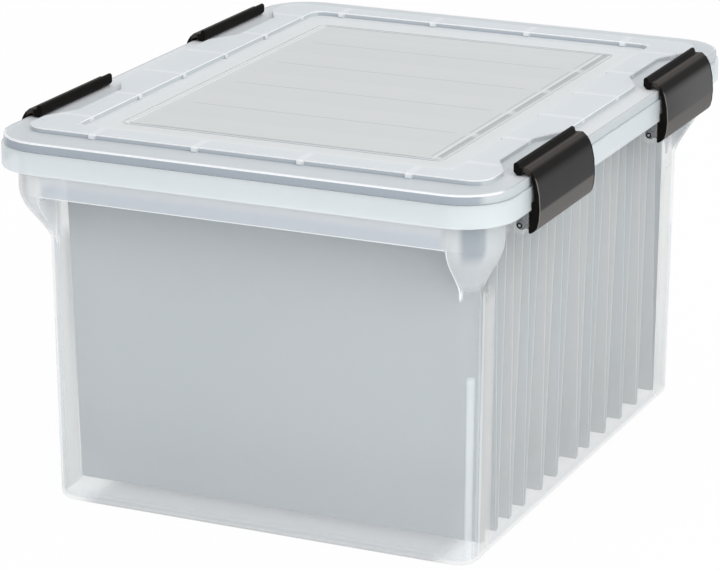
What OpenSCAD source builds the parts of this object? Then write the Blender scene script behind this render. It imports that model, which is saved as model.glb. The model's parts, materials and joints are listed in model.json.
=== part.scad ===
// Portable file box: clear tub with hanging rails, lid with a seal, four
// swing latches and a row of hanging folders. Millimetres, +Z up, origin
// at the centre of the base. X runs across the short side.

/* [Tub] */
// Outside width of the tub at its base, across the short side
tub_w = 307; // [290:1:330]
// Outside length of the tub at its base
tub_l = 388; // [376:1:430]
// Outside corner radius of the tub at its base
tub_r = 14; // [10:0.5:18]
// Radius of the edge round the base
base_r = 4; // [2:0.5:8]
// Wall thickness of the moulded tub
wall = 2.2; // [1.6:0.1:2.8]
// Thickness of the tub's floor
floor_t = 3; // [2:0.1:4]
// How far a wall leans out in each millimetre of height
draft = 0.01; // [0.002:0.001:0.016]
// Height of the hanging rails, which are the tops of the inner walls
rail_z = 243; // [225:1:270]

/* [Rim] */
// Clear width of the gutter outside each long side's rail
side_gutter = 9.9; // [8.5:0.1:14]
// Clear width of the gutter outside each end's rail
end_gutter = 20.9; // [16:0.1:26]
// Depth of the end gutters below the rail
end_gutter_depth = 21.8; // [14:0.1:30]
// Depth of the side gutters below the rail
side_gutter_depth = 10.8; // [8:0.1:12]
// Height of the rim's top face above the rail
rim_rise = 10.5; // [9:0.1:16]
// How far the rim stands out over the side gutters
side_overhang = 13.5; // [12:0.1:18]
// How far the rim stands out over the end gutters
end_overhang = 8.5; // [6:0.1:14]
// Corner radius of the rim
rim_r = 36; // [34:1:44]
// Height of the skirt that hangs from the rim
skirt_h = 15; // [10:0.5:16]
// Thickness of the skirt
skirt_t = 2; // [1.4:0.1:2.6]

/* [Corner fins] */
// Height over which a corner flares out from the wall to the rim
fin_h = 41; // [30:1:60]
// Height of the top of the flare, below the rail
fin_top_drop = 21; // [16:0.5:30]
// How far a corner fin stands proud of the side gutter's face
fin_proud = 2.5; // [1:0.1:4]
// Outside corner radius of the flared corner
fin_r = 28; // [26:0.5:30]
// Distance of a fin's flank on an end wall from the side wall
fin_end_w = 8.5; // [6:0.5:16]
// Distance of a fin's flank on a side wall from the end wall
fin_side_w = 10.5; // [8:0.5:20]
// Radius where a fin runs into the end gutter's lower edge
fin_fillet = 6; // [3:0.5:10]

/* [Lid] */
// Height of the lid's outer edge
lid_edge_h = 6.2; // [5:0.1:9]
// Thickness of the lid's plate
lid_t = 2.2; // [1.6:0.1:2.8]
// How far the lid's edge stands in from the side skirts
lid_side_inset = 1.7; // [0.6:0.1:3]
// How far the lid's edge stands in from the end skirts
lid_end_inset = 1.2; // [0.6:0.1:3]
// Width of the flat ledge outside the stacking ring, at the sides
side_ledge = 15.3; // [13:0.1:18]
// Width of the flat ledge outside the stacking ring, at the ends
end_ledge = 24.8; // [18:0.1:30]
// Height of the stacking ring above the ledge
ring_h = 3.5; // [2:0.1:5]
// Width of the stacking ring at the sides
side_ring = 30; // [26:0.5:36]
// Width of the stacking ring at the ends
end_ring = 17; // [12:0.5:24]
// Outside corner radius of the stacking ring
ring_r = 14; // [10:0.5:20]
// How far a latch pocket is cut into the stacking ring
pocket_in = 12.5; // [8:0.5:16]
// Length of a latch pocket at its back
pocket_back = 60; // [40:1:80]
// Length of a latch pocket at its mouth
pocket_mouth = 108; // [104:1:116]
// Width of the margin between the stacking ring and the centre panel
panel_margin = 18; // [12:0.5:24]
// Width of one border groove of the centre panel
groove_w = 1.2; // [0.8:0.1:2]
// Spacing of the two border grooves
groove_pitch = 3.4; // [2.6:0.1:5]
// Depth of the border grooves
groove_d = 0.5; // [0.2:0.1:0.8]
// Spacing of the buttresses along the ends of the ring
end_rib_pitch = 75; // [60:1:90]
// Spacing of the buttresses along the sides of the ring
side_rib_pitch = 65; // [50:1:80]
// Width of a buttress
rib_w = 4; // [2:0.5:6]
// How far a buttress stands out from the ring's wall
rib_out = 2; // [1:0.1:3]
// Depth of the rim that locates the lid inside the tub
plug_h = 8.6; // [6:0.1:9]
// Thickness of that rim
plug_t = 1.6; // [1.2:0.1:2.2]
// Gap between that rim and the tub's opening
plug_gap = 1.2; // [0.6:0.1:2]

/* [Seal] */
// Width of the seal
seal_w = 5; // [3:0.1:6]
// Distance from the tub's opening to the seal's inner edge, at the ends
seal_in = 1.1; // [0.4:0.1:2]
// Further distance at the sides
seal_side_extra = 2.6; // [0:0.1:5]
// Gap between the seal and what it faces
seal_gap = 0.3; // [0.2:0.1:0.5]
// Thickness of the two small walls that hold the seal
seal_wall = 0.9; // [0.6:0.1:1.4]

/* [Latches] */
// Length of a latch
latch_len = 98.5; // [80:0.5:102]
// Distance of a latch's middle from the end of the rim
latch_end = 108.2; // [104:0.2:116]
// Gap between a latch and the skirt that it closes over
latch_gap = 0.5; // [0.4:0.1:1]
// Gap between a latch's hook and the ledge that it presses on
hook_gap = 0.4; // [0.3:0.1:0.8]
// Thickness of a latch's shell
shell_t = 3.2; // [2.4:0.1:4]
// Distance of the hinge pin inside the skirt's outer face
pin_in = 6.3; // [5.8:0.1:7]
// Distance of the hinge pin below the skirt's lower edge
pin_down = 9.8; // [9:0.1:12]
// Radius of the hinge pins
pin_r = 2; // [1.5:0.1:2.4]
// Radial clearance of a pin in its lug
pin_clear = 0.06; // [0.03:0.01:0.09]
// Radius of the barrel that carries the pins
barrel_r = 3.5; // [3:0.1:4]
// Radius of a lug round its hole
lug_r = 5.5; // [4.5:0.1:6]
// Thickness of a lug
lug_t = 2.6; // [2:0.1:4]
// Gap between a lug and the latch's end
lug_gap = 0.4; // [0.3:0.1:0.8]

/* [Folders] */
// Width of a folder
folder_w = 298; // [260:1:300]
// Thickness of a folder's card
card_t = 0.8; // [0.5:0.1:1.2]
// Half of the spread of a folder at its top
spread = 9; // [7:0.5:10]
// Half of the width of a folder's bottom fold
fold = 1.6; // [1.2:0.1:3]
// Distance of the first folder's middle from the end wall
folder_end = 29.23; // [20:0.01:60]
// Height of a folder's bottom fold above the tub's floor
folder_lift = 3.5; // [2:0.5:20]
// Thickness of a hanger rod
rod_t = 1.6; // [1.2:0.1:2]
// Height of a hanger rod
rod_h = 8.2; // [7.5:0.1:9]
// Height of a rod above the notch that rests on the rail
rod_over = 3.2; // [2.5:0.1:4]
// Length of the hook outside the rail
hook_len = 5; // [4:0.1:6]
// Gap between a rod's notch and the rail
rod_gap = 0.3; // [0.2:0.1:0.5]
// Clearance at each side of the rail in a notch
notch_clear = 0.7; // [0.5:0.1:1]

/* [Hidden] */

eps = 0.5;       // overlap of solids that are joined or cut through
round_steps = 6; // straight steps in a quarter turn of a corner

// Colours
clear_c = [0.86, 0.89, 0.92, 0.45];
black_c = [0.09, 0.09, 0.10];
card_c = [0.72, 0.75, 0.77];
steel_c = [0.62, 0.63, 0.65];
seal_c = [0.80, 0.83, 0.86];

// Tub: faces worked out from its sizes
rail_x = tub_w / 2 + draft * rail_z;
rail_y = tub_l / 2 + draft * rail_z;
band_x = rail_x + side_gutter + wall;
band_y = rail_y + end_gutter + wall;
fin_x = band_x + fin_proud;
fin_y = band_y + 0.4;
rim_x = band_x + side_overhang;
rim_y = band_y + end_overhang;
rim_z = rail_z + rim_rise;
skirt_z = rim_z - skirt_h;
run_x = tub_w / 2 - fin_end_w; // half of the straight part of an end wall
run_y = tub_l / 2 - fin_side_w; // half of the straight part of a side wall
fin_top = rail_z - fin_top_drop;
fin_foot = fin_top - fin_h;
fin_levels = 8;
fin_sink = 0.5; // depth of a fin's foot inside the wall
flare_levels = [for (i = [0:fin_levels]) fin_foot + fin_h * i / fin_levels];
end_floor = rail_z - end_gutter_depth;
side_floor = rail_z - side_gutter_depth;

// Lid
lid_x = rim_x - lid_side_inset;
lid_y = rim_y - lid_end_inset;
lid_r = rim_r - 1;
lid_foot = rim_z + seal_gap;
ledge_z = lid_foot + lid_edge_h;
ring_x = lid_x - side_ledge;
ring_y = lid_y - end_ledge;
recess_x = ring_x - side_ring;
recess_y = ring_y - end_ring;
recess_r = ring_r - 4;
panel_x = recess_x - panel_margin;
panel_y = recess_y - panel_margin - 9;
plug_x = band_x - wall - plug_gap;
plug_y = band_y - wall - plug_gap;
seal_x = band_x - wall + seal_in + seal_side_extra;
seal_y = band_y - wall + seal_in;
seal_r = rim_r - 9;
plug_r = fin_r - wall - plug_gap;

// Latches, seen along the box: u runs outwards and v runs upwards
pin_u = rim_x - pin_in;
pin_v = skirt_z - pin_down;
lug_y = latch_len / 2 + lug_gap;
latch_y = rim_y - latch_end;

// Folders
folder_count = 12;
folder_pitch = 2 * (rail_y - wall - folder_end) / (folder_count - 1);
folder_foot = floor_t + folder_lift;
rod_top = rail_z + rod_gap + rod_over;
rod_foot = rod_top - rod_h;
hem_gap = 0.3;
seal_play = 0.1; // gap between the seal and the lid's plate
// How far each folder's foot swings away from under its rods, front to back
swings = [4, -3, -9, -14, -12, -14, -5, -12, -9, -6, -3, 2];

function rod_row(k) = (k - (folder_count - 1) / 2) * folder_pitch;

// A flat outline with four rounded corners
module plan(hx, hy, r) {
  polygon([
    for (q = [0:3], i = [0:round_steps])
      let (a = 90 * (q + i / round_steps), sx = q == 0 || q == 3 ? 1 : -1, sy = q < 2 ? 1 : -1)
        [sx * (hx - r) + r * cos(a), sy * (hy - r) + r * sin(a)]
  ]);
}

module slab(hx, hy, r, z0, z1) {
  translate([0, 0, z0]) linear_extrude(z1 - z0) plan(hx, hy, r);
}

module block(x0, x1, y0, y1, z0, z1) {
  translate([x0, y0, z0]) cube([x1 - x0, y1 - y0, z1 - z0]);
}

// A rounded rectangle's outline at the height z, its corners in straight steps
function level_outline(hx, hy, r, z) = [
  for (q = [0:3], i = [0:round_steps])
    let (a = 90 * (q + i / round_steps), sx = q == 0 || q == 3 ? 1 : -1, sy = q < 2 ? 1 : -1)
      [sx * (hx - r) + r * cos(a), sy * (hy - r) + r * sin(a), z]
];

// A stack of outlines joined into a solid
module loft(rings) {
  n = len(rings[0]);
  m = len(rings);
  polyhedron(
    [for (r = rings) each r],
    concat(
      [for (j = [0:m - 2], i = [0:n - 1]) let (a = j * n + i, b = j * n + (i + 1) % n) [a, a + n, b + n, b]],
      [[for (i = [0:n - 1]) i], [for (i = [n - 1:-1:0]) (m - 1) * n + i]]
    ),
    convexity = 4
  );
}

// The tub's walls: they lean out with the height, and the edge round the
// base is rounded
module walls(z0, z1, inset) {
  function at(z, in) = level_outline(tub_w / 2 + draft * z - in, tub_l / 2 + draft * z - in, tub_r - in, z);
  base = inset > 0 ? [] : [for (a = [0:30:60]) at(base_r * (1 - cos(a)), base_r * (1 - sin(a)))];
  loft(concat(base, [at(inset > 0 ? z0 : base_r, inset), at(z1, inset)]));
}

// Share of the flare that is reached at the height z: an S-shaped sweep
function flare(z) =
  let (u = min(1, max(0, (z - fin_foot) / fin_h)))
    u * u * (3 - 2 * u);

// Half of the tub's length over its fins at the height z
function flare_x(z) = let (foot = tub_w / 2 + draft * fin_foot - fin_sink) foot + flare(z) * (fin_x - foot);
function flare_y(z) = let (foot = tub_l / 2 + draft * fin_foot - fin_sink) foot + flare(z) * (fin_y - foot);

// The four flared corners. Their feet lie inside the walls, which they meet
// at a clear angle.
module fins(top, inset) {
  intersection() {
    loft([
      for (z = concat(flare_levels, [top]))
        level_outline(flare_x(z) - inset, flare_y(z) - inset, tub_r + flare(z) * (fin_r - tub_r) - inset, z)
    ]);
    at_corners() block(run_x + inset, rim_x, run_y + inset, rim_y, fin_foot - 1, top + 1);
  }
}

module at_corners() {
  for (mx = [0, 1], my = [0, 1]) mirror([mx, 0, 0]) mirror([0, my, 0]) children();
}

module at_ends() {
  for (my = [0, 1]) mirror([0, my, 0]) children();
}

module at_sides() {
  for (mx = [0, 1]) mirror([mx, 0, 0]) children();
}

// Extrudes a profile drawn as (outwards, upwards) along the box
module along_box(y0, y1) {
  translate([0, y1, 0]) rotate([90, 0, 0]) linear_extrude(y1 - y0) children();
}

// Fillets between the corner fins and the lower edge of an end gutter
module fin_fillets() {
  low = end_floor - fin_fillet;
  face_y = flare_y(low) - 1;
  for (mx = [0, 1]) mirror([mx, 0, 0])
    translate([run_x, face_y, end_floor]) rotate([90, 0, 0])
      linear_extrude(face_y - rail_y + wall / 2) difference() {
        translate([-fin_fillet, -fin_fillet]) square(fin_fillet + eps);
        translate([-fin_fillet, -fin_fillet]) circle(fin_fillet, $fn = 32);
      }
}

module lug_plate() {
  difference() {
    union() {
      translate([pin_u, pin_v]) circle(lug_r, $fn = 48);
      translate([band_x - wall / 2, pin_v])
        square([rim_x - skirt_t / 2 - band_x + wall / 2, rim_z - wall / 2 - pin_v]);
    }
    translate([pin_u, pin_v]) circle(pin_r + pin_clear, $fn = 48);
  }
}

module lugs() {
  for (end = [-1, 1]) {
    y = latch_y + end * (lug_y + lug_t / 2);
    along_box(y - lug_t / 2, y + lug_t / 2) lug_plate();
  }
  // the gutter's face reaches down beside the outer lug
  block(band_x - wall, band_x, latch_y + lug_y, run_y + eps, pin_v - lug_r, side_floor);
}

module tub() {
  color(clear_c) difference() {
    union() {
      walls(0, rim_z - wall / 2, 0);
      fins(rim_z - wall / 2, 0);
      at_ends() {
        block(-run_x - 1, run_x + 1, run_y, band_y, end_floor, rim_z - wall / 2);
        fin_fillets();
      }
      at_sides()
        block(run_x, band_x, -run_y - 1, run_y + 1, side_floor, rim_z - wall / 2);
      difference() {
        slab(rim_x, rim_y, rim_r, skirt_z, rim_z);
        slab(rim_x - skirt_t, rim_y - skirt_t, rim_r - skirt_t, skirt_z - eps, rim_z - wall);
      }
      at_corners() lugs();
    }
    walls(floor_t, rim_z + eps, wall);
    fins(rim_z + eps, wall);
    slab(band_x - wall, band_y - wall, fin_r - wall, rail_z, rim_z + eps);
    at_ends()
      block(-run_x - wall - 1, run_x + wall + 1, rail_y, band_y - wall, end_floor + wall, rim_z);
    at_sides()
      block(rail_x, band_x - wall, -run_y - wall - 1, run_y + wall + 1, side_floor + wall, rim_z);
  }
}

// Pocket cut into the stacking ring beside a latch; "grow" widens it
module pocket(grow) {
  polygon([
    [ring_x + eps + grow, latch_y - pocket_mouth / 2 - grow],
    [ring_x + eps + grow, latch_y + pocket_mouth / 2 + grow],
    [ring_x - pocket_in - grow, latch_y + pocket_back / 2 + grow],
    [ring_x - pocket_in - grow, latch_y - pocket_back / 2 - grow]
  ]);
}

// Outline of the stacking ring; "inset" thins it from every side
module ring(inset) {
  difference() {
    plan(ring_x - inset, ring_y - inset, ring_r - inset);
    plan(recess_x + inset, recess_y + inset, recess_r + inset);
    at_corners() pocket(inset);
  }
}

module frame_strip(hx, hy, r, w) {
  difference() {
    plan(hx, hy, r);
    plan(hx - w, hy - w, r - w);
  }
}

module ring_ribs() {
  tall = ring_h - 0.5;
  for (i = [-1.5, -0.5, 0.5, 1.5]) {
    at_ends() translate([i * end_rib_pitch - rib_w / 2, ring_y - lid_t / 2, ledge_z - eps])
      cube([rib_w, rib_out + lid_t / 2, tall + eps]);
    at_ends() translate([i * end_rib_pitch - rib_w / 2, recess_y - rib_out, ledge_z - eps])
      cube([rib_w, rib_out + lid_t / 2, tall + eps]);
    at_sides() translate([recess_x - rib_out, i * side_rib_pitch - rib_w / 2, ledge_z - eps])
      cube([rib_out + lid_t / 2, rib_w, tall + eps]);
  }
}

module lid() {
  color(clear_c) union() {
    difference() {
      union() {
        slab(lid_x, lid_y, lid_r, lid_foot, ledge_z);
        translate([0, 0, ledge_z - eps]) linear_extrude(ring_h + eps) ring(0);
      }
      slab(lid_x - lid_t, lid_y - lid_t, lid_r - lid_t, lid_foot - eps, ledge_z - lid_t);
      translate([0, 0, ledge_z - lid_t - eps]) linear_extrude(ring_h + eps) ring(lid_t);
      translate([0, 0, ledge_z - groove_d]) linear_extrude(groove_d + eps) {
        frame_strip(panel_x, panel_y, 6, groove_w);
        frame_strip(panel_x - groove_pitch, panel_y - groove_pitch, 4, groove_w);
      }
    }
    ring_ribs();
    translate([0, 0, ledge_z - lid_t - plug_h]) linear_extrude(plug_h + eps)
      frame_strip(plug_x, plug_y, plug_r, plug_t);
    translate([0, 0, ledge_z - lid_t - 2]) linear_extrude(2 + eps) {
      frame_strip(seal_x - seal_gap, seal_y - seal_gap, seal_r - seal_gap, seal_wall);
      frame_strip(seal_x + seal_w + seal_gap + seal_wall, seal_y + seal_w + seal_gap + seal_wall,
                  seal_r + seal_w + seal_gap + seal_wall, seal_wall);
    }
  }
}

module seal() {
  color(seal_c)
    translate([0, 0, rim_z + seal_gap]) linear_extrude(lid_edge_h - lid_t - seal_play)
      frame_strip(seal_x + seal_w, seal_y + seal_w, seal_r + seal_w, seal_w);
}

// Section of a latch: a hook over the ledge, a shell down the skirt and a
// thick foot below it, which a web joins to the hinge barrel
module latch_section() {
  s = rim_x + latch_gap;      // inner face of the foot's upper step
  in = rim_x - 1.3;           // inner face of the foot, under the skirt
  h = ledge_z;
  foot = pin_v - lug_r;
  top = h + 5.8;
  bend = skirt_z + 0.3;
  union() {
    polygon([
      [s - 10.6, h + hook_gap],
      [s - 12.6, h + 2.6],
      [s - 12.6, h + 6.8],
      [s - 9, h + 6.8],
      [s - 8.4, top - 0.3],
      [s - 3.4, top],
      [s - 0.2, h + 3.1],
      [s + 1.8, h],
      [s + shell_t, h - 3.4],
      [s + shell_t + 1.7, h - 11],
      [s + shell_t + 2.4, bend],
      [s + shell_t + 1.9, bend - 7],
      [s + shell_t + 0.8, foot + 4.2],
      [s + shell_t - 0.6, foot + 2.1],
      [s + shell_t - 2.6, foot + 0.7],
      [in + 1, foot],
      [in, foot + 0.4],
      [in, skirt_z - 0.7],
      [in + 1, skirt_z - 0.4],
      [s, skirt_z - 0.4],
      [s, bend + 5],
      [s + 1.7, bend + 5.6],
      [s + 1.4, h - 9],
      [s + 0.7, h - 4.4],
      [s - 0.7, h + 0.4],
      [s - 3.2, h + 2.4],
      [s - 5.8, h + 2.8],
      [s - 6.4, h + 1.2],
      [s - 7.2, h + hook_gap]
    ]);
    translate([s - 10.8, h + 6.8]) circle(1.8, $fn = 32);
    translate([pin_u, pin_v]) circle(barrel_r, $fn = 48);
    translate([pin_u, pin_v - 2.4]) square([in - pin_u + eps, 4.8]);
  }
}

module latch() {
  color(black_c) {
    along_box(latch_y - latch_len / 2, latch_y + latch_len / 2) latch_section();
    reach = latch_len / 2 + lug_gap + lug_t - 0.3;
    along_box(latch_y - reach, latch_y + reach)
      translate([pin_u, pin_v]) circle(pin_r, $fn = 48);
  }
}

// One card panel of a folder, with the hem that wraps its rod
module panel(top_y, foot_y) {
  hem_w = rod_t + 2 * (hem_gap + card_t);
  hem_foot = rod_foot - hem_gap - card_t;
  hw = folder_w / 2;
  difference() {
    block(-hw, hw, top_y - hem_w / 2, top_y + hem_w / 2, hem_foot, hem_foot + rod_h + 2 * (hem_gap + card_t));
    block(-hw - eps, hw + eps, top_y - rod_t / 2 - hem_gap, top_y + rod_t / 2 + hem_gap,
      rod_foot - hem_gap, rod_foot + rod_h + hem_gap);
  }
  along_width(folder_w) polygon([
    [top_y - card_t / 2, hem_foot + card_t / 2],
    [top_y + card_t / 2, hem_foot + card_t / 2],
    [foot_y + card_t / 2, folder_foot],
    [foot_y - card_t / 2, folder_foot]
  ]);
}

// A section drawn with Y and Z, run across the box's width
module along_width(w) {
  translate([-w / 2, 0, 0]) rotate([90, 0, 90]) linear_extrude(w) children();
}

module folder(k) {
  row = rod_row(k);
  foot_y = row + swings[k];
  color(card_c) {
    panel(row - spread, foot_y - fold);
    panel(row + spread, foot_y + fold);
    block(-folder_w / 2, folder_w / 2, foot_y - fold, foot_y + fold, folder_foot, folder_foot + card_t);
  }
}

// The two rods of a folder: flat strips with a notch at each end that
// sits on the rail
module rods(k) {
  tip = rail_x + notch_clear + hook_len;
  color(steel_c)
    for (side = [-1, 1])
      translate([0, rod_row(k) + side * spread + rod_t / 2, 0]) rotate([90, 0, 0])
        linear_extrude(rod_t) difference() {
          translate([-tip, rod_foot]) square([2 * tip, rod_h]);
          for (end = [-1, 1])
            translate([end * (rail_x - wall / 2) - wall / 2 - notch_clear, rod_foot - eps])
              square([wall + 2 * notch_clear, rail_z + rod_gap - rod_foot + eps]);
        }
}

tub();
lid();
seal();
mirror([0, 1, 0]) latch();  // latch_front_right
latch();  // latch_back_right
mirror([1, 0, 0]) mirror([0, 1, 0]) latch();  // latch_front_left
mirror([1, 0, 0]) latch();  // latch_back_left
folder(0);  // folder_01
folder(1);  // folder_02
folder(2);  // folder_03
folder(3);  // folder_04
folder(4);  // folder_05
folder(5);  // folder_06
folder(6);  // folder_07
folder(7);  // folder_08
folder(8);  // folder_09
folder(9);  // folder_10
folder(10);  // folder_11
folder(11);  // folder_12
rods(0);  // rods_01
rods(1);  // rods_02
rods(2);  // rods_03
rods(3);  // rods_04
rods(4);  // rods_05
rods(5);  // rods_06
rods(6);  // rods_07
rods(7);  // rods_08
rods(8);  // rods_09
rods(9);  // rods_10
rods(10);  // rods_11
rods(11);  // rods_12
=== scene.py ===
# Looks for a portable file box: a clear tub with a latching lid and a row of
# hanging card folders. Metres, +Z up, the same frame as the CAD part.
import bpy
import json
import math
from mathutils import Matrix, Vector


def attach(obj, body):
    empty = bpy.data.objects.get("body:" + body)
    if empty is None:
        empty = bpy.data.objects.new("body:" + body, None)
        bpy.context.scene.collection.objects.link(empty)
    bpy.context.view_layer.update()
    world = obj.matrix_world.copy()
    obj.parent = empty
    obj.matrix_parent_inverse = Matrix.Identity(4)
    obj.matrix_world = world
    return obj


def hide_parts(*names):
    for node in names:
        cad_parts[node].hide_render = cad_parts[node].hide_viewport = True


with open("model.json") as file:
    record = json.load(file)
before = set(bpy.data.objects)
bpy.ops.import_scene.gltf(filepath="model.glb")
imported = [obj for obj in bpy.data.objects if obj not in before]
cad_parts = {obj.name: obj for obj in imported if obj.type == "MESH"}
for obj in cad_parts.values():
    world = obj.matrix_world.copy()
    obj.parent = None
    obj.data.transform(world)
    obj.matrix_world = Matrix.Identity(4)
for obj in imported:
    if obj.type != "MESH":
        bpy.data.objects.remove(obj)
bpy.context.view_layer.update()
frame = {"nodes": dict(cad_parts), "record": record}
scene = bpy.context.scene
scene.view_settings.view_transform = "Standard"


# ---------------------------------------------------------------- shader maths
class Field:
    """A number, colour or vector that changes over a surface. Sums and products add Math nodes."""

    def __init__(self, nodes, socket):
        self.nodes, self.socket = nodes, socket

    def _math(self, operation, *others):
        inputs = {0: self, **{i + 1: other for i, other in enumerate(others)}}
        return self.nodes.node("ShaderNodeMath", {"operation": operation}, inputs)

    def __add__(self, other):
        return self._math("ADD", other)

    def __mul__(self, other):
        return self._math("MULTIPLY", other)

    def __sub__(self, other):
        return self._math("SUBTRACT", other)

    def __rsub__(self, other):
        return self.nodes.node("ShaderNodeMath", {"operation": "SUBTRACT"}, {0: other, 1: self})

    __radd__ = __add__
    __rmul__ = __mul__

    def __abs__(self):
        return self._math("ABSOLUTE")

    def mod(self, other):
        return self._math("FLOORED_MODULO", other)

    def most(self, other):
        return self._math("MAXIMUM", other)

    def least(self, other):
        return self._math("MINIMUM", other)

    def root(self):
        return self._math("POWER", 0.5)

    def turn(self, other):
        """The angle of the point (other, self), in degrees."""
        return self._math("ARCTAN2", other) * math.degrees(1)

    def rise(self, low, high):
        """0 below low, 1 above high, and a smooth step between them."""
        inputs = {"Value": self, "From Min": low, "From Max": high, "To Min": 0.0, "To Max": 1.0}
        return self.nodes.node("ShaderNodeMapRange", {"interpolation_type": "SMOOTHSTEP"}, inputs)

    def fall(self, low, high):
        """1 below low and 0 above high."""
        return 1 - self.rise(low, high)

    def band(self, middle, half, soft):
        """1 within half of middle, falling to 0 over soft."""
        return abs(self - middle).fall(half, half + soft)


def far(a, b):
    """The length of the vector (a, b)."""
    return (a * a + b * b).root()


class Nodes:
    """A node tree, filled node by node."""

    def __init__(self, tree):
        self.tree = tree
        self.tree.nodes.clear()

    def node(self, kind, settings, inputs, out=0):
        """Adds one node. Gives the Field of its output, or the node itself where out is None."""
        made = self.tree.nodes.new(kind)
        for key, value in settings.items():
            setattr(made, key, value)
        for key, value in inputs.items():
            if isinstance(value, Field):
                self.tree.links.new(value.socket, made.inputs[key])
            else:
                made.inputs[key].default_value = value
        return made if out is None else Field(self, made.outputs[out])

    def ray(self, kind, other):
        """1 for a ray of either kind."""
        path = self.node("ShaderNodeLightPath", {}, {}, None)
        first, second = (Field(self, path.outputs["Is %s Ray" % name]) for name in (kind, other))
        return first.most(second)


class Finish(Nodes):
    """One material, with the place and the facing of each point of its surface."""

    def __init__(self, name):
        self.material = bpy.data.materials.new(name)
        self.material.use_nodes = True
        super().__init__(self.material.node_tree)
        self.place = self.node("ShaderNodeTexCoord", {}, {}, "Object")
        self.x, self.y, self.z = self.split(self.place)
        facing = self.node("ShaderNodeNewGeometry", {}, {}, "Normal")
        self.across, self.along, self.up = (abs(part) for part in self.split(facing))

    def split(self, vector):
        parts = self.node("ShaderNodeSeparateXYZ", {}, {0: vector}, None)
        return (Field(self, socket) for socket in parts.outputs)

    def upright(self):
        """1 on walls and 0 on level faces."""
        return self.up.fall(0.5, 0.8)

    def outside(self, half, radius):
        """How far a point lies outside a rounded rectangle in plan; less than 0 inside."""
        past = [(abs(at) - (size - radius)).most(0.0) for at, size in zip((self.x, self.y), half)]
        return far(*past) - radius

    def noise(self, scale, detail=3.0, roughness=0.5, stretch=(1, 1, 1)):
        where = self.node("ShaderNodeMapping", {}, {"Vector": self.place, "Scale": stretch})
        inputs = {"Vector": where, "Scale": scale, "Detail": detail, "Roughness": roughness}
        return self.node("ShaderNodeTexNoise", {}, inputs)

    def blend(self, share, a, b):
        """Tone a where share is 0, and tone b where it is 1."""
        ends = {6: a, 7: b}
        tones = {key: tone if isinstance(tone, Field) else (*tone, 1) for key, tone in ends.items()}
        return self.node("ShaderNodeMix", {"data_type": "RGBA"}, {0: share, **tones}, 2)

    def paint(self, colour, *coats):
        """Lays coats, each a share and a tone, one over the other."""
        for share, tone in coats:
            colour = self.blend(share, colour, tone)
        return colour

    def bump(self, height, strength, distance):
        return self.node("ShaderNodeBump", {}, {"Height": height, "Strength": strength, "Distance": distance})

    def surface(self, colour, roughness, **more):
        inputs = {"Base Color": colour if isinstance(colour, Field) else (*colour, 1), "Roughness": roughness}
        inputs.update({key.replace("_", " "): value for key, value in more.items()})
        shader = self.node("ShaderNodeBsdfPrincipled", {}, inputs)
        self.node("ShaderNodeOutputMaterial", {}, {"Surface": shader}, None)
        return self.material


# ---------------------------------------------------------------- sizes
# The part's own sizes, in metres, that the finishes follow. A pair is the half
# width across X and the half length along Y.
tub_half = (0.1535, 0.194)
tub_corner = 0.014
floor_top = 0.003
floor_shade_side = (0.12, 0.14)
foot_round = 0.011
bounce_haze_rise = (0.010, 0.060)
skirt_foot = 0.2385
gutter_foot = 0.2212
gutter_face = 0.2150
fin_foot = 0.181
fin_shoulder = 0.190
fin_knee = 0.2165
fin_centre = (0.1425, 0.1919)
fin_inner = (0.140, 0.180)
fin_edge = 0.145

lid_half = (0.1798, 0.2268)
lid_corner = 0.035
lid_side = 0.177
ledge_top = 0.260
recess = (0.1345, 0.185)
ledge_ends = (0.160, 0.200)
ring_top = 0.2635
ring_side = 0.1645
end_ribs = 0.075
side_ribs = 0.065
rib_half = 0.0022
panel = (0.1165, 0.158)
border = (0.120, 0.162)
panel_lines = 0.0637
panel_centre = 0.0066
panel_line_end = 0.100
border_thin, border_highlight_x, border_shade = 0.1050, 0.1078, 0.1110
left_border_highlight_x = -0.1130

latch_middle = 0.11983
latch_half = 0.04925
latch_knee = 0.2370
hook_foot = 0.2535
hook_highlight_middle = 0.1785
latch_face = 0.1835
pin = (0.17523, 0.2287)

card_shade_start = 0.14
card_shade_top = 0.245
cards = 12

# Painted light and shade that show in the clear walls at the tub's corners
strip_middle = 0.1705
strip_half = 0.0075
strip_end = (0.172, 0.200)
corner_highlight_angle = 41
corner_highlight_top = 0.133
shade_pool_angle = 48

clear_ior = 1.49
edge_radius = 0.0005


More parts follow.
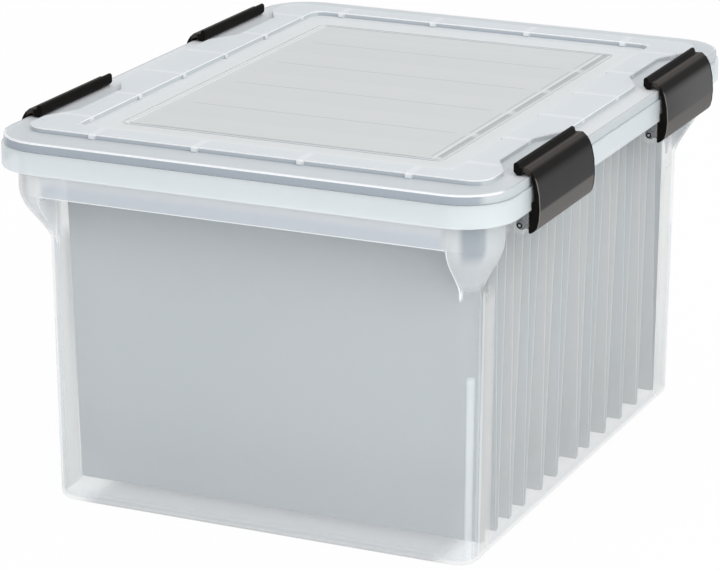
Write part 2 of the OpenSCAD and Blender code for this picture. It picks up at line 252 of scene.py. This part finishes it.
# ---------------------------------------------------------------- finishes
def clear_tub():
    """Clear moulded plastic: hazy walls, milky where the gutters, the fins and the skirt double it up."""
    f = Finish("clear_tub")
    wide, deep, upright = abs(f.x), abs(f.y), f.upright()
    cloud = f.noise(6, 3)
    # right: 0 on the left and 1 on the right. The fins are painted lighter on the left and darker on the right
    # as painted light and shade, and their shade pools are stronger on the right
    right = f.x.rise(-0.01, 0.01)

    # Where each part of the moulding is
    skirt = f.z.rise(skirt_foot - 0.001, skirt_foot + 0.001)
    gutter = f.z.rise(gutter_foot - 0.0015, gutter_foot) * deep.rise(gutter_face - 0.002, gutter_face)
    fin = f.z.rise(fin_foot - 0.002, fin_foot + 0.016)
    fin = fin * wide.rise(fin_inner[0], fin_inner[0] + 0.004) * deep.rise(fin_inner[1], fin_inner[1] + 0.004)
    shoulder = f.z.fall(fin_shoulder, fin_knee) * fin
    floor = f.z.fall(floor_top + 0.0002, floor_top + 0.0015)
    # The middle of the floor is painted darker and more opaque, as painted shade under the folders
    floor_shade_middle = wide.fall(*floor_shade_side)
    foot = f.z.fall(floor_top + 0.001, foot_round)
    # The walls grow more opaque towards the bottom: a milky haze that also stands in for light bounced up from
    # the floor
    bounce_haze = f.z.fall(*bounce_haze_rise)
    outer_side = wide.rise(tub_half[0] - 0.004, tub_half[0] - 0.002)

    # Painted shade pools in the fins, stronger on the right, and painted highlights and a painted light strip
    # in the corners
    fin_angle = (deep - fin_centre[1]).turn(wide - fin_centre[0])
    shade_pool = f.z.rise(fin_knee - 0.010, fin_knee + 0.006) * fin_angle.band(shade_pool_angle, 11, 12)
    shade_pool = shade_pool * fin * (0.35 + 0.65 * right)
    from_x, from_y = wide - (tub_half[0] - tub_corner), deep - (tub_half[1] - tub_corner)
    at_corner = from_x.rise(-0.003, 0.0) * from_y.rise(-0.003, 0.0)
    angle = from_y.turn(from_x)
    # A painted highlight down the middle of each corner's round, in its lower part
    corner_highlight = angle.band(corner_highlight_angle, 8, 4) * f.z.fall(corner_highlight_top - 0.006, corner_highlight_top) * at_corner * upright
    # A painted highlight line where each corner's round meets the side wall
    arc_end_highlight = angle.band(0, 5, 6) * outer_side * f.z.fall(fin_foot, fin_foot + 0.01) * upright
    # A warm painted light strip on each side wall, near its ends
    strip = deep.band(strip_middle, strip_half, 0.004) * outer_side * f.z.fall(*strip_end) * upright

    # Painted highlights: white lines along the skirt's and the gutters' lower edges, and down the fins' flanks
    skirt_highlight = 0.6 * f.z.band(skirt_foot + 0.0003, 0.0005, 0.0003)
    gutter_highlight = f.z.band(gutter_foot + 0.0002, 0.0004, 0.0003) * gutter
    gutter_highlight = gutter_highlight * wide.fall(fin_edge - 0.001, fin_edge)
    thick = 0.0002 + 0.0003 * f.z.rise(fin_foot - 0.004, fin_foot + 0.006)
    thick = thick + 0.0002 * f.z.fall(fin_foot + 0.010, fin_knee)
    flank_highlight = (wide - fin_edge - thick).fall(0.0, 0.0004) * wide.rise(fin_edge - 0.0008, fin_edge - 0.0004)
    flank_highlight = flank_highlight * f.z.rise(fin_foot - 0.003, fin_foot + 0.004) * f.z.fall(gutter_foot, gutter_foot + 0.001)
    flank_highlight = flank_highlight * deep.rise(fin_inner[1], fin_inner[1] + 0.004)
    edge_highlights = (skirt_highlight.most(gutter_highlight) * upright).most(flank_highlight)

    # The gutter is painted lighter towards its top, as painted light under the skirt
    gutter_upper_light = f.z.rise(gutter_foot + 0.005, skirt_foot - 0.004)
    colour = f.paint(
        f.blend(cloud, (0.80, 0.83, 0.85), (0.86, 0.88, 0.89)),
        (gutter, f.blend(gutter_upper_light, (0.72, 0.76, 0.81), (0.92, 0.945, 0.965))),
        # Fins: painted light on the left, painted shade on the right
        (fin, f.blend(right, (0.95, 0.955, 0.955), (0.79, 0.815, 0.825))),
        (0.4 * shoulder, (0.66, 0.69, 0.71)),
        (0.9 * shade_pool, (0.41, 0.455, 0.495)),
        (skirt, f.blend(cloud, (0.80, 0.85, 0.865), (0.85, 0.90, 0.91))),
        (strip, (0.89, 0.89, 0.86)),
        (corner_highlight.most(arc_end_highlight), (0.88, 0.92, 0.94)),
        (edge_highlights, (0.97, 0.98, 0.985)),
        (floor, f.blend(floor_shade_middle, (0.93, 0.935, 0.93), (0.66, 0.68, 0.695))),
    )
    alpha = 0.13 + 0.05 * cloud + 0.07 * foot + 0.09 * bounce_haze
    alpha = alpha * (1 - floor) + (0.16 + 0.30 * floor_shade_middle) * floor
    walls = (skirt, 0.64), (gutter, 0.60), (fin, 0.52), (shade_pool, 0.62)
    lights = (corner_highlight, 0.44), (arc_end_highlight, 0.52), (strip, 0.42), (edge_highlights, 0.8)
    for share, cover in (*walls, *lights):
        alpha = alpha.most(cover * share)
    return f.surface(colour, 0.20 + 0.08 * cloud, Alpha=alpha, IOR=clear_ior)


def clear_lid():
    """The same plastic, thicker to look through: milky, with a frosted centre panel in thin border lines."""
    f = Finish("clear_lid")
    wide, deep, upright = abs(f.x), abs(f.y), f.upright()
    cloud = f.noise(7, 3)

    # The frosted panel, with faint lines across it, and in its border painted highlight lines, a painted shade
    # line and thin dark lines
    top = f.z.rise(ledge_top - 0.0015, ledge_top - 0.001)
    on_panel = wide.fall(panel[0] - 0.004, panel[0]) * deep.fall(panel[1] - 0.004, panel[1]) * top
    row = (f.y - panel_centre).mod(panel_lines) * (1 / panel_lines)
    from_line = abs(row - 0.5)
    line = from_line.fall(0.004, 0.009) * wide.fall(panel_line_end - 0.008, panel_line_end) * on_panel
    between = from_line.rise(0.05, 0.08)
    shade_line = f.x.band(border_shade, 0.0020, 0.0006) * between * on_panel
    thin_line = f.x.band(border_thin, 0.0004, 0.0004) * between * on_panel
    border_highlight = 0.4 * f.x.band(border_highlight_x, 0.0006, 0.0006) + 0.8 * f.x.band(left_border_highlight_x, 0.0016, 0.0012)

    # The flat inside the ring, the ring's raised top, and the marks of the ribs under it
    inside = wide.fall(recess[0] - 0.0006, recess[0] + 0.0006)
    inside = inside * deep.fall(recess[1] - 0.0006, recess[1] + 0.0006)
    outer_strip = wide.rise(recess[0] - 0.012, recess[0] - 0.004)
    outer_strip = outer_strip.most(deep.rise(recess[1] - 0.018, recess[1] - 0.010))
    raised = f.z.rise(ledge_top + 0.0025, ledge_top + 0.0032)
    end_rib = wide.mod(end_ribs).band(end_ribs / 2, rib_half, 0.0008)
    side_rib = deep.mod(side_ribs).band(side_ribs / 2, rib_half, 0.0008)
    marks = end_rib * deep.rise(recess[1], recess[1] + 0.001)
    marks = marks.most(side_rib * deep.fall(recess[1] - 0.001, recess[1]))

    # The walls, the end walls painted darker blue-grey than the side walls as painted shade from inside the
    # box, and painted highlights: white lines along the lid's edge and the ring's crest, grey along the sides
    end_wall, side_wall = (way.rise(0.6, 0.8) * upright for way in (f.along, f.across))
    above_ledge = f.z.rise(ledge_top + 0.0004, ledge_top + 0.001)
    past = f.outside(lid_half, lid_corner)
    rim_highlight = f.z.band(ledge_top - 0.0003, 0.0007, 0.0003) * past.rise(-0.004, -0.003)
    crest = rim_highlight.most(f.z.band(ring_top - 0.0002, 0.0005, 0.0003)) * upright
    brim_highlight = past.rise(-0.0018, -0.0012) * (1 - upright) * f.z.rise(ledge_top - 0.001, ledge_top - 0.0005)

    ledge_side = wide.rise(ring_side - 0.004, ring_side + 0.004) * deep.fall(*ledge_ends)
    at_side = wide.rise(lid_side - 0.001, lid_side + 0.001)
    colour = f.paint(
        f.blend(cloud, (0.665, 0.70, 0.715), (0.715, 0.74, 0.755)),
        (ledge_side, (0.83, 0.84, 0.845)),
        (raised, (0.78, 0.81, 0.825)),
        (raised * marks, (0.86, 0.88, 0.885)),
        (inside, (0.82, 0.83, 0.828)),
        (inside * outer_strip, (0.85, 0.865, 0.87)),
        (on_panel, f.blend(row.rise(0.0, 1.0), (0.668, 0.680, 0.668), (0.684, 0.694, 0.680))),
        (0.8 * line + 0.5 * thin_line, (0.40, 0.41, 0.41)),
        (0.8 * shade_line, (0.40, 0.43, 0.42)),
        (border_highlight * on_panel, (0.92, 0.915, 0.90)),
        (end_wall, f.blend(above_ledge, (0.43, 0.475, 0.525), (0.53, 0.57, 0.61))),
        (side_wall, f.blend(above_ledge, (0.68, 0.72, 0.735), (0.66, 0.70, 0.71))),
        ((end_rib * end_wall).most(side_rib * side_wall) * above_ledge, (0.88, 0.90, 0.91)),
        (crest.most(brim_highlight), f.blend(at_side, (0.99, 0.99, 0.99), (0.62, 0.64, 0.65))),
    )
    alpha = 0.70 + 0.12 * on_panel + 0.1 * upright + 0.1 * crest
    roughness = 0.42 + 0.10 * cloud + 0.12 * on_panel
    return f.surface(colour, roughness, Alpha=alpha, IOR=clear_ior, Specular_IOR_Level=0.22)


def tub_edge_highlight():
    """The tub's rounded edges, painted whiter and more opaque than the walls as a highlight; the foot of a
    corner fin runs out in the wall.
    """
    f = Finish("tub_edge_highlight")
    foot = f.z.band(fin_foot, 0.004, 0.003) * abs(f.x).rise(0.128, 0.132) * abs(f.y).rise(0.170, 0.174)
    foot = foot * f.up.rise(0.2, 0.5)
    colour = f.blend(f.noise(40, 2), (0.90, 0.93, 0.95), (0.97, 0.975, 0.98))
    return f.surface(colour, 0.15 + 0.1 * f.noise(60, 2), Alpha=0.75 - 0.6 * foot, IOR=clear_ior)


def lid_edge_highlight():
    """The lid's rounded edges: painted white as a highlight, and grey along the sides, the ring's base and the
    panel's border.
    """
    f = Finish("lid_edge_highlight")
    wide, deep = abs(f.x), abs(f.y)
    ring_base = f.z.band(ledge_top, 0.0007, 0.0003) * f.outside(lid_half, lid_corner).fall(-0.004, -0.003)
    at_border = wide.fall(border[0], border[0] + 0.002) * deep.fall(border[1], border[1] + 0.002)
    colour = f.paint(
        f.blend(f.noise(40, 2), (0.96, 0.97, 0.975), (0.98, 0.985, 0.985)),
        (ring_base, (0.72, 0.745, 0.76)),
        (wide.rise(lid_side - 0.001, lid_side + 0.001), (0.68, 0.70, 0.71)),
        (at_border, (0.66, 0.68, 0.67)),
    )
    return f.surface(colour, 0.15 + 0.1 * f.noise(60, 2), Alpha=0.9, IOR=clear_ior)


def seal_strip():
    """A soft, milky strip."""
    f = Finish("seal_strip")
    return f.surface((0.72, 0.77, 0.80), 0.55 + 0.1 * f.noise(300, 2), Alpha=0.6)


def black_latch():
    """Black moulded plastic: near black over the hook, greyer down the face as painted sheen that grows towards
    +Y, and palest below the knee as a painted reflection of the floor.
    """
    f = Finish("black_latch")
    wide = abs(f.x)
    grain, cloud = f.noise(900, 2), f.noise(45, 3)
    outer = wide.rise(latch_face, latch_face + 0.0015) * f.along.fall(0.6, 0.9)
    # Painted sheen down the latch's face, lighter towards +Y
    face = f.z.fall(hook_foot, hook_foot + 0.0085) * outer
    # The facet below the knee, painted palest as a reflection of the floor
    knee = f.z.fall(latch_knee, latch_knee + 0.0025) * outer
    # A painted brownish highlight along the top of the hook
    hook_highlight = wide.band(hook_highlight_middle, 0.0012, 0.0025) * f.z.rise(0.256, ledge_top)

    # A painted shade line at the end of each latch that points along +Y, and a painted highlight line at the
    # other
    back_end_shade = [f.y.band(latch_half + way * latch_middle, 0.0018, 0.0004) for way in (-1, 1)]
    front_end_highlight = [f.y.band(0.0006 - latch_half + way * latch_middle, 0.0005, 0.0003) for way in (-1, 1)]
    # A painted glint on the end of each pin
    pin_glint = far(wide - pin[0], f.z - pin[1]).fall(0.0007, 0.0011) * f.along.rise(0.6, 0.9)

    colour = f.paint(
        f.blend(cloud, (0.006, 0.0055, 0.005), (0.009, 0.008, 0.0075)),
        (face, f.blend(f.y.rise(0.0, 0.16), (0.042, 0.041, 0.041), (0.100, 0.098, 0.098))),
        (hook_highlight, (0.050, 0.044, 0.040)),
        (knee, (0.125, 0.117, 0.108)),
        (back_end_shade[0].most(back_end_shade[1]) * outer, (0.006, 0.006, 0.006)),
        (front_end_highlight[0].most(front_end_highlight[1]) * outer, (0.20, 0.19, 0.18)),
        (0.8 * pin_glint, (0.45, 0.45, 0.46)),
    )
    bumps = f.bump(grain, 0.12, 0.0001)
    return f.surface(colour, 0.34 + 0.08 * cloud, Normal=bumps, Specular_IOR_Level=0.02)


def folder_card(shade, k, darker):
    """Pale card, with painted shade that darkens it towards the rods."""
    f = Finish("folder_card_%02d" % k)
    fibre = f.noise(700, 4, 0.6, (1, 1, 0.35))
    cloud = f.noise(11, 2)
    dark = tuple(c * darker for c in shade)
    # Painted shade towards the rods at the top of the cards
    high = f.z.rise(card_shade_start, card_shade_top)
    colour = f.blend((0.04 * fibre + 0.25 * cloud + 0.7 * high).least(1.0), shade, dark)
    return f.surface(colour, 0.78 + 0.1 * fibre, Normal=f.bump(fibre, 0.015, 0.0002))


def rod_steel():
    """Flat steel, drawn lengthwise."""
    f = Finish("rod_steel")
    streak = f.noise(260, 3, 0.6, (0.05, 1, 1))
    colour = f.blend(streak, (0.55, 0.56, 0.57), (0.7, 0.71, 0.72))
    return f.surface(colour, 0.28 + 0.18 * streak, Metallic=1.0)


# ---------------------------------------------------------------- making
def only(obj):
    """Leaves obj alone selected and active."""
    if bpy.context.object and bpy.context.object.mode != "OBJECT":
        bpy.ops.object.mode_set(mode="OBJECT")
    bpy.ops.object.select_all(action="DESELECT")
    obj.select_set(True)
    bpy.context.view_layer.objects.active = obj


def finished(obj, *finishes):
    obj.data.materials.clear()
    for finish in finishes:
        obj.data.materials.append(finish)


def body_of(node):
    for body, members in frame["record"]["behaviour"]["bodies"].items():
        if node in members:
            return body


def moulded(node, name, finishes, sharp=35):
    """A copy of a CAD node with its mould radii: flat faces joined up, and edges rounded in the last finish."""
    obj = frame["nodes"][node].copy()
    obj.data = obj.data.copy()
    obj.name = name
    for key in list(obj.keys()):
        del obj[key]
    obj.parent = None
    scene.collection.objects.link(obj)
    only(obj)
    bpy.ops.object.mode_set(mode="EDIT")
    bpy.ops.mesh.select_all(action="SELECT")
    bpy.ops.mesh.remove_doubles(threshold=0.000005)
    bpy.ops.mesh.dissolve_limited(angle_limit=math.radians(0.6))
    bpy.ops.object.mode_set(mode="OBJECT")
    finished(obj, *finishes)
    bevel = obj.modifiers.new("edges", "BEVEL")
    bevel.width, bevel.segments = edge_radius, 2
    bevel.limit_method, bevel.angle_limit = "ANGLE", math.radians(sharp)
    bevel.miter_outer = "MITER_ARC"
    bevel.material = len(finishes) - 1
    bpy.ops.object.modifier_apply(modifier="edges")
    bpy.ops.object.shade_smooth_by_angle(angle=math.radians(sharp))
    level = obj.modifiers.new("flats", "WEIGHTED_NORMAL")
    level.keep_sharp = True
    bpy.ops.object.modifier_apply(modifier="flats")
    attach(obj, body_of(node))
    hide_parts(node)


# ---------------------------------------------------------------- the box
moulded("tub", "tub_shell", (clear_tub(), tub_edge_highlight()))
moulded("lid", "lid_shell", (clear_lid(), lid_edge_highlight()))
latch_finish = (black_latch(),)
for end in ("front", "back"):
    for side in ("left", "right"):
        moulded("latch_%s_%s" % (end, side), "latch_piece_%s_%s" % (end, side), latch_finish, sharp=20)

finished(frame["nodes"]["seal"], seal_strip())
rod_finish = rod_steel()
# The first folder shows its whole front, painted darker as shade; behind it cooler and warmer cards take turns
shaded_front_card = ((0.52, 0.555, 0.56), 0.86)
other_cards = ((0.74, 0.775, 0.785), 0.93), ((0.80, 0.81, 0.80), 0.93)
for k in range(1, cards + 1):
    shade, darker = shaded_front_card if k == 1 else other_cards[k % 2]
    finished(frame["nodes"]["folder_%02d" % k], folder_card(shade, k, darker))
    finished(frame["nodes"]["rods_%02d" % k], rod_finish)


# ---------------------------------------------------------------- studio
def camera():
    """The photograph's view: azimuth and elevation of the eye, a long lens, and the point that it looks at."""
    az, el, distance = math.radians(24.49), math.radians(17.67), 2.29738
    shift_right, shift_up, focal, picture = -0.01184, -0.02220, 3270.22, 720
    back = Vector((math.sin(az) * math.cos(el), -math.cos(az) * math.cos(el), math.sin(el)))
    right = Vector((math.cos(az), math.sin(az), 0))
    up = back.cross(right)
    target = Vector((0, 0, 0.140)) + right * shift_right + up * shift_up
    lens = bpy.data.cameras.new("eye")
    lens.sensor_fit, lens.sensor_width = "HORIZONTAL", 36
    lens.lens = focal * 36 / picture
    lens.clip_end = 50
    eye = bpy.data.objects.new("eye", lens)
    eye.location = target + back * distance
    eye.rotation_euler = back.to_track_quat("Z", "Y").to_euler()
    scene.collection.objects.link(eye)
    scene.camera = eye


def soft_box(name, place, aim, power, size=2.0):
    light = bpy.data.lights.new(name, "AREA")
    light.shape, light.size, light.size_y = "RECTANGLE", size, size
    light.energy = power
    lamp = bpy.data.objects.new(name, light)
    lamp.location = place
    lamp.rotation_euler = (Vector(place) - Vector(aim)).to_track_quat("Z", "Y").to_euler()
    scene.collection.objects.link(lamp)


def backdrop():
    """A floor that the camera sees as white, and that takes a faint shade from the box."""
    bpy.ops.mesh.primitive_plane_add(size=12, location=(0, 0, -0.0002))
    floor = bpy.context.object
    floor.name = "floor"
    f = Finish("studio_floor")
    matt = f.node("ShaderNodeBsdfDiffuse", {}, {"Color": (0.9, 0.9, 0.9, 1)})
    glow = f.node("ShaderNodeEmission", {}, {"Color": (1, 1, 1, 1), "Strength": 1.0})
    mixed = f.node("ShaderNodeMixShader", {}, {0: 0.97 * f.ray("Camera", "Transmission"), 1: matt, 2: glow})
    f.node("ShaderNodeOutputMaterial", {}, {"Surface": mixed}, None)
    finished(floor, f.material)


def sky():
    """White where it is seen or mirrored, and dimmer and cooler as a light."""
    world = bpy.data.worlds.new("studio")
    world.use_nodes = True
    scene.world = world
    nodes = Nodes(world.node_tree)
    dim = nodes.node("ShaderNodeBackground", {}, {"Color": (0.93, 0.96, 1, 1), "Strength": 0.55})
    white = nodes.node("ShaderNodeBackground", {}, {"Color": (1, 1, 1, 1), "Strength": 1.0})
    mixed = nodes.node("ShaderNodeMixShader", {}, {0: nodes.ray("Camera", "Glossy"), 1: dim, 2: white})
    nodes.node("ShaderNodeOutputWorld", {}, {"Surface": mixed}, None)


camera()
backdrop()
sky()
soft_box("key", (1.75, -1.3, 1.3), (0, 0, 0.12), 30)
soft_box("fill", (-1.4, -1.8, 1.3), (0, 0, 0.12), 10)
soft_box("top", (0, 0.4, 2.2), (0, 0, 0.2), 18)
scene.cycles.transparent_max_bounces = 24
